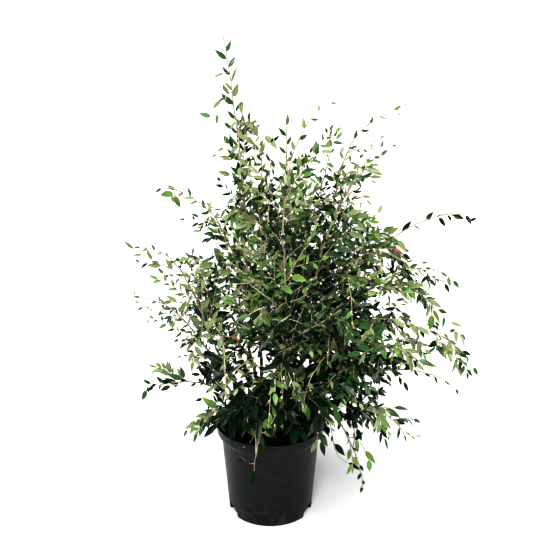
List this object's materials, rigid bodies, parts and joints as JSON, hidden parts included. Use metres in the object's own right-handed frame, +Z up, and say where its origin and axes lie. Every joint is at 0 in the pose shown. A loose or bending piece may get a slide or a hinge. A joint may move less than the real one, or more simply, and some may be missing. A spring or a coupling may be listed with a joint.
{
  "type": "potted camellia shrub",
  "caption": "Evergreen camellia shrub with upright stems and long arching shoots to one side, growing in a round plastic nursery pot full of compost.",
  "frame": {"origin": "middle of the pot's flat underside, on the surface that the pot stands on", "axes": "+Z up along the pot's axis; +X towards the side that the long arching shoots reach to; -Y towards the front"},
  "size_m": [0.8713, 0.6603, 1.2159],
  "materials": {
    "pot_plastic": "semi-gloss black moulded plastic",
    "compost": "loose, damp and dark, with paler bark chips",
    "bark": "smooth tan bark with fine ridges",
    "leaf": "glossy dark green leaves, bright yellow-green when young"
  },
  "bodies": {
    "root": {"pot": "pot_plastic", "soil": "compost", "stem_back": "bark", "stem_back_left": "bark", "stem_back_right": "bark", "stem_centre": "bark", "stem_far_left": "bark", "stem_front": "bark", "stem_left": "bark", "stem_low_left": "bark", "stem_low_right": "bark", "stem_right": "bark", "bough_back_low": "bark", "bough_front_hanging": "bark", "bough_left_low": "bark", "bough_left_lowest": "bark", "bough_right_arch": "bark", "bough_right_hanging": "bark", "bough_right_level": "bark", "bough_right_long": "bark", "bough_right_low": "bark", "bough_right_lowest": "bark", "bough_upper_left": "bark", "foliage_back_left_low": "leaf", "foliage_back_low": "leaf", "foliage_back_middle": "leaf", "foliage_back_right_low": "leaf", "foliage_front_bright": "leaf", "foliage_front_hanging": "leaf", "foliage_front_left": "leaf", "foliage_front_low": "leaf", "foliage_front_low_left": "leaf", "foliage_front_right": "leaf", "foliage_front_top": "leaf", "foliage_left_low": "leaf", "foliage_left_low_arch": "leaf", "foliage_left_lowest": "leaf", "foliage_left_middle": "leaf", "foliage_low_middle": "leaf", "foliage_low_middle_right": "leaf", "foliage_right_arch": "leaf", "foliage_right_hanging": "leaf", "foliage_right_high": "leaf", "foliage_right_level": "leaf", "foliage_right_long": "leaf", "foliage_right_low": "leaf", "foliage_right_lowest": "leaf", "foliage_right_middle": "leaf", "foliage_right_upper": "leaf", "foliage_top_arch": "leaf", "foliage_top_back": "leaf", "foliage_top_leader": "leaf", "foliage_top_middle": "leaf", "foliage_top_right": "leaf", "foliage_upper_back_left": "leaf", "foliage_upper_back_right": "leaf", "foliage_upper_left": "leaf"}
  },
  "joints": []
}
